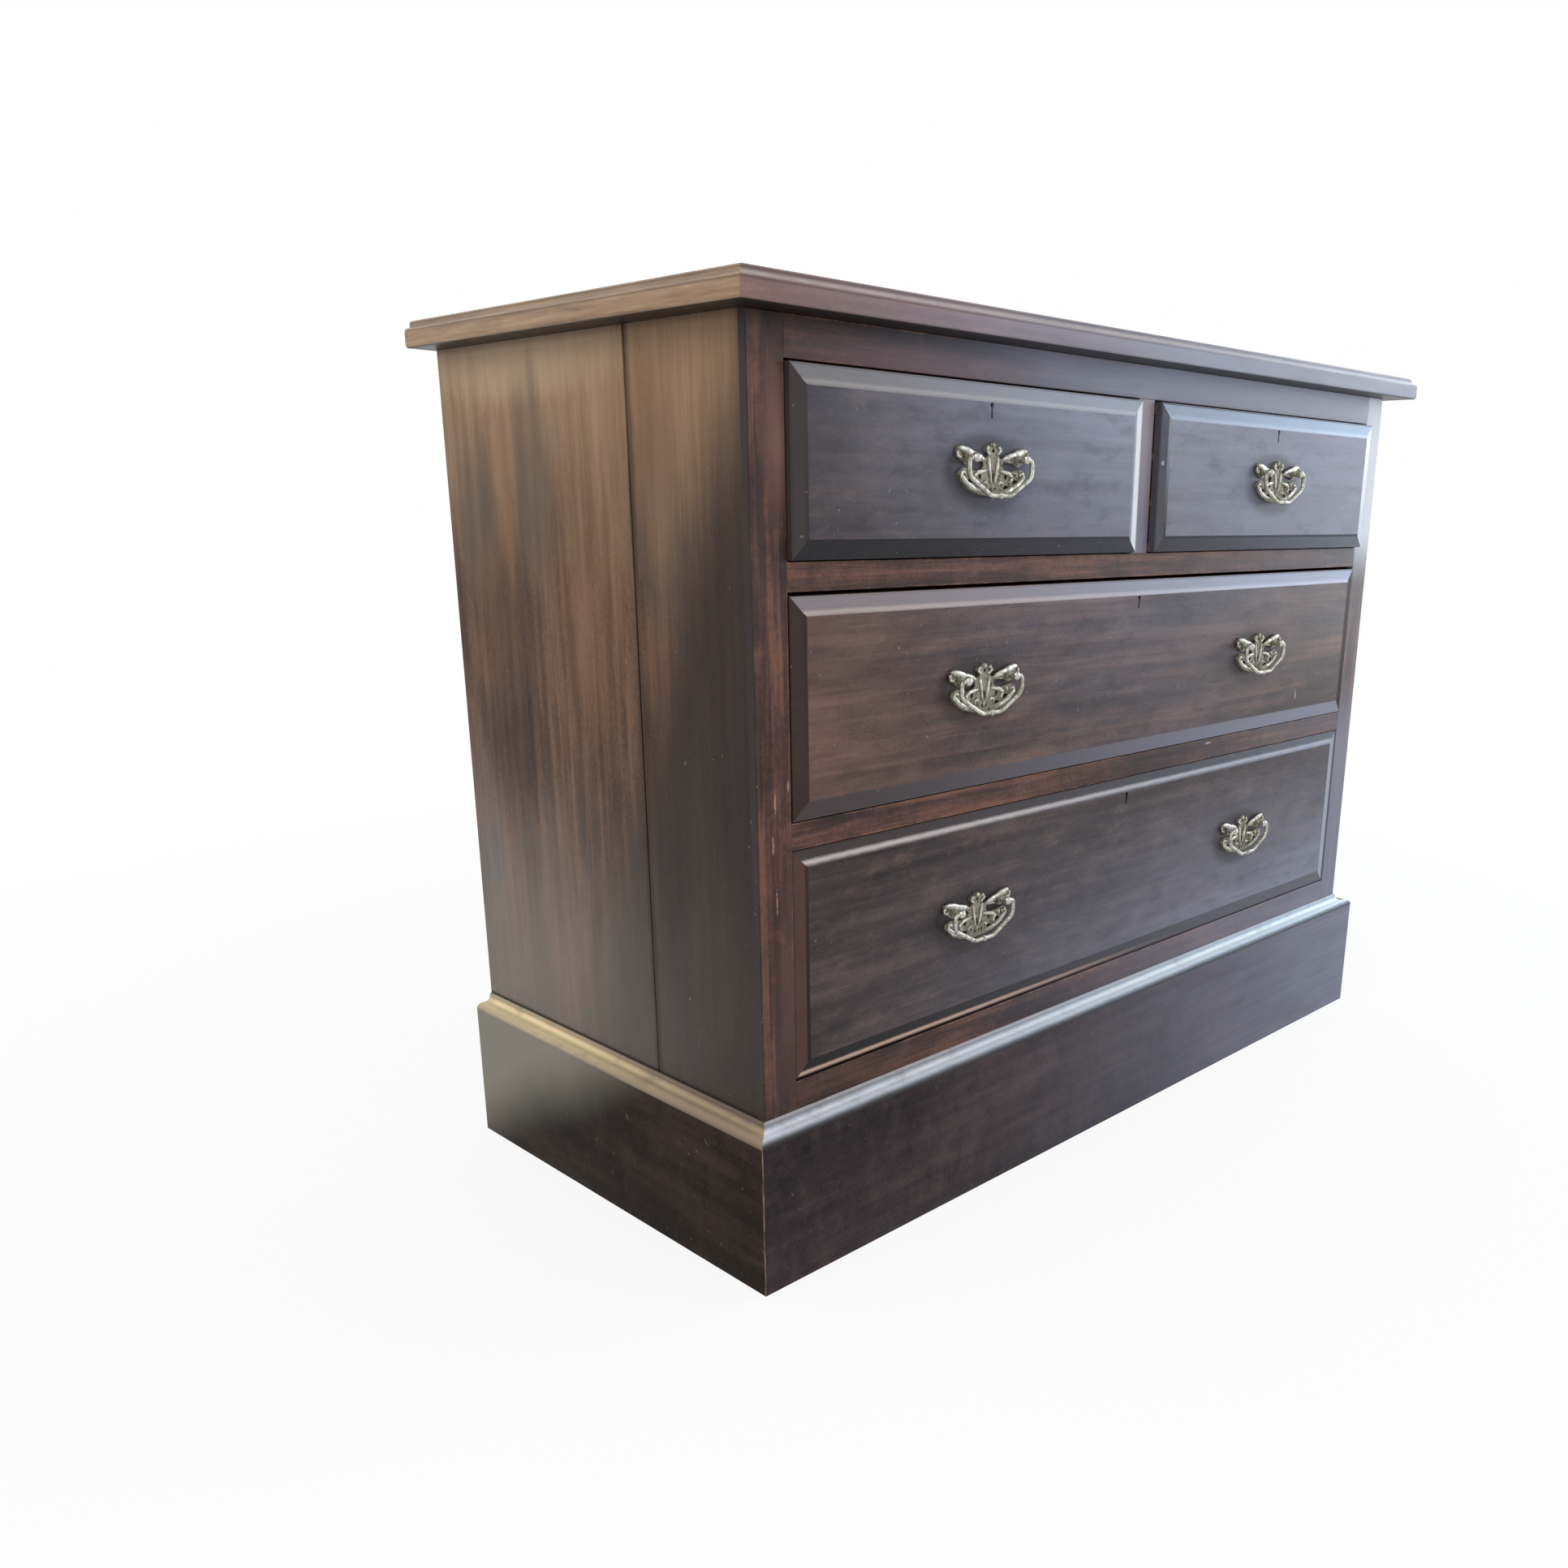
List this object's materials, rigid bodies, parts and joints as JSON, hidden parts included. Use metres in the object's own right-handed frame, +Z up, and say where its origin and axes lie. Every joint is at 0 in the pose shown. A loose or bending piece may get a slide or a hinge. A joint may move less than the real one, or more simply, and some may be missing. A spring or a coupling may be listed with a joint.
{
  "type": "chest of drawers",
  "caption": "Low chest of drawers on a plinth: short drawers side by side over full-width ones, with locks and winged pierced plates with swinging bail handles.",
  "frame": {"origin": "on the floor, under the middle of the top board", "axes": "+X to the right along the drawer fronts, +Y from the front to the back, +Z up"},
  "size_m": [1.066, 0.484, 0.812],
  "materials": {
    "mahogany_case": "worn semi-gloss",
    "mahogany_fronts": "dark gloss",
    "pine_inside": "bare",
    "old_brass": "worn antique",
    "steel_screws": "dull"
  },
  "bodies": {
    "carcass": {"top_board": "mahogany_case", "left_side_front_board": "mahogany_case", "left_side_rear_boards": "mahogany_case", "right_side_front_board": "mahogany_case", "right_side_rear_boards": "mahogany_case", "left_stile": "mahogany_case", "right_stile": "mahogany_case", "top_rail": "mahogany_case", "upper_rail": "mahogany_case", "lower_rail": "mahogany_case", "bottom_rail": "mahogany_case", "drawer_divider": "mahogany_case", "plinth_front": "mahogany_case", "plinth_left": "mahogany_case", "plinth_right": "mahogany_case", "plinth_mouldings": "mahogany_case", "back_rails": "pine_inside", "back_boards": "pine_inside", "drawer_runners": "pine_inside", "drawer_guides": "pine_inside", "drawer_kickers": "pine_inside", "drawer_stops": "pine_inside", "glue_blocks": "pine_inside", "top_screws": "steel_screws"},
    "upper_left_drawer": {"upper_left_drawer_front": "mahogany_fronts", "upper_left_drawer_sides": "pine_inside", "upper_left_drawer_back": "pine_inside", "upper_left_drawer_bottom": "pine_inside", "upper_left_lock": "old_brass", "upper_left_handle_fittings": "old_brass"},
    "upper_left_lock_bolt": {"upper_left_lock_bolt": "old_brass"},
    "upper_left_bail": {"upper_left_bail": "old_brass"},
    "upper_right_drawer": {"upper_right_drawer_front": "mahogany_fronts", "upper_right_drawer_sides": "pine_inside", "upper_right_drawer_back": "pine_inside", "upper_right_drawer_bottom": "pine_inside", "upper_right_lock": "old_brass", "upper_right_handle_fittings": "old_brass"},
    "upper_right_lock_bolt": {"upper_right_lock_bolt": "old_brass"},
    "upper_right_bail": {"upper_right_bail": "old_brass"},
    "middle_drawer": {"middle_drawer_front": "mahogany_fronts", "middle_drawer_sides": "pine_inside", "middle_drawer_back": "pine_inside", "middle_drawer_bottom": "pine_inside", "middle_lock": "old_brass", "middle_handle_fittings": "old_brass"},
    "middle_lock_bolt": {"middle_lock_bolt": "old_brass"},
    "middle_left_bail": {"middle_left_bail": "old_brass"},
    "middle_right_bail": {"middle_right_bail": "old_brass"},
    "lower_drawer": {"lower_drawer_front": "mahogany_fronts", "lower_drawer_sides": "pine_inside", "lower_drawer_back": "pine_inside", "lower_drawer_bottom": "pine_inside", "lower_lock": "old_brass", "lower_handle_fittings": "old_brass"},
    "lower_lock_bolt": {"lower_lock_bolt": "old_brass"},
    "lower_left_bail": {"lower_left_bail": "old_brass"},
    "lower_right_bail": {"lower_right_bail": "old_brass"}
  },
  "joints": [
    {"name": "upper_left_drawer_slide", "type": "slide", "parent": "carcass", "child": "upper_left_drawer", "axis": [0, -1, 0], "range_m": [0, 0.36]},
    {"name": "upper_left_bolt_slide", "type": "slide", "parent": "upper_left_drawer", "child": "upper_left_lock_bolt", "axis": [0, 0, 1], "range_m": [0, 0.008]},
    {"name": "upper_left_bail_hinge", "type": "hinge", "parent": "upper_left_drawer", "child": "upper_left_bail", "pos_m": [-0.241, -0.2314, 0.6935], "axis": [-1, 0, 0], "range_deg": [-10, 150]},
    {"name": "upper_right_drawer_slide", "type": "slide", "parent": "carcass", "child": "upper_right_drawer", "axis": [0, -1, 0], "range_m": [0, 0.36]},
    {"name": "upper_right_bolt_slide", "type": "slide", "parent": "upper_right_drawer", "child": "upper_right_lock_bolt", "axis": [0, 0, 1], "range_m": [0, 0.008]},
    {"name": "upper_right_bail_hinge", "type": "hinge", "parent": "upper_right_drawer", "child": "upper_right_bail", "pos_m": [0.241, -0.2344, 0.6935], "axis": [-1, 0, 0], "range_deg": [-10, 150]},
    {"name": "middle_drawer_slide", "type": "slide", "parent": "carcass", "child": "middle_drawer", "axis": [0, -1, 0], "range_m": [0, 0.36]},
    {"name": "middle_bolt_slide", "type": "slide", "parent": "middle_drawer", "child": "middle_lock_bolt", "axis": [0, 0, 1], "range_m": [0, 0.008]},
    {"name": "middle_left_bail_hinge", "type": "hinge", "parent": "middle_drawer", "child": "middle_left_bail", "pos_m": [-0.241, -0.2274, 0.5055], "axis": [-1, 0, 0], "range_deg": [-10, 150]},
    {"name": "middle_right_bail_hinge", "type": "hinge", "parent": "middle_drawer", "child": "middle_right_bail", "pos_m": [0.241, -0.2274, 0.5055], "axis": [-1, 0, 0], "range_deg": [-10, 150]},
    {"name": "lower_drawer_slide", "type": "slide", "parent": "carcass", "child": "lower_drawer", "axis": [0, -1, 0], "range_m": [0, 0.36]},
    {"name": "lower_bolt_slide", "type": "slide", "parent": "lower_drawer", "child": "lower_lock_bolt", "axis": [0, 0, 1], "range_m": [0, 0.008]},
    {"name": "lower_left_bail_hinge", "type": "hinge", "parent": "lower_drawer", "child": "lower_left_bail", "pos_m": [-0.241, -0.2249, 0.29], "axis": [-1, 0, 0], "range_deg": [-10, 150]},
    {"name": "lower_right_bail_hinge", "type": "hinge", "parent": "lower_drawer", "child": "lower_right_bail", "pos_m": [0.241, -0.2249, 0.29], "axis": [-1, 0, 0], "range_deg": [-10, 150]}
  ]
}
